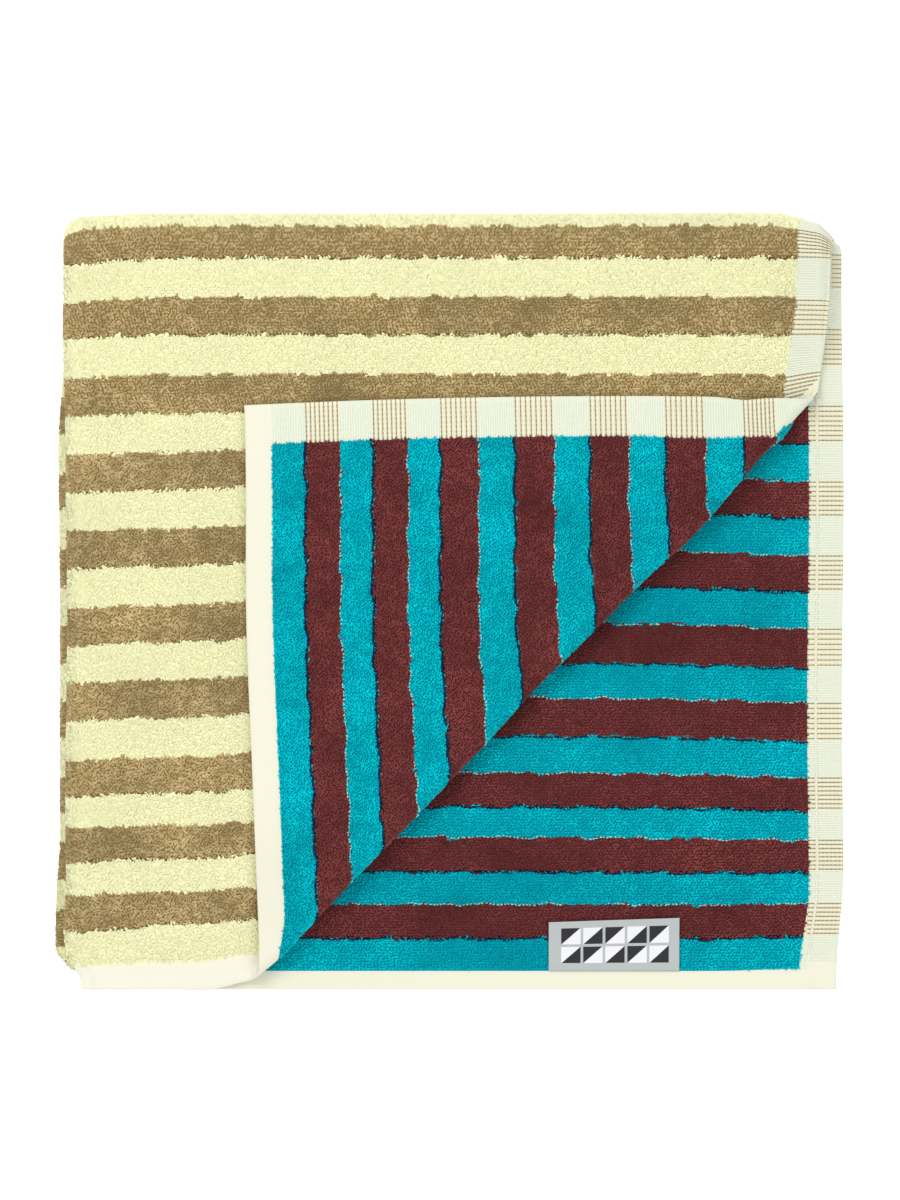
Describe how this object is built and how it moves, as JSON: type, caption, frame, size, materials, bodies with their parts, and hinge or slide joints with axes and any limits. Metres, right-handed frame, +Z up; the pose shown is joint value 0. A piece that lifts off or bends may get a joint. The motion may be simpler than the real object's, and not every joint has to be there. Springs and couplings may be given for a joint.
{
  "type": "hand towel",
  "caption": "Striped terry hand towel folded into a square stack, with the near corner of its top layer turned back to show the other face.",
  "frame": {"origin": "centre of the folded towel's footprint, on the surface it lies on", "axes": "+Z up, the thickness of the stack; +X towards the end hems; +Y towards the last fold"},
  "size_m": [0.2512, 0.2476, 0.0331],
  "materials": {
    "towel": "matte",
    "label": "matte"
  },
  "bodies": {
    "root": {"towel": "towel", "label": "label"}
  },
  "joints": []
}
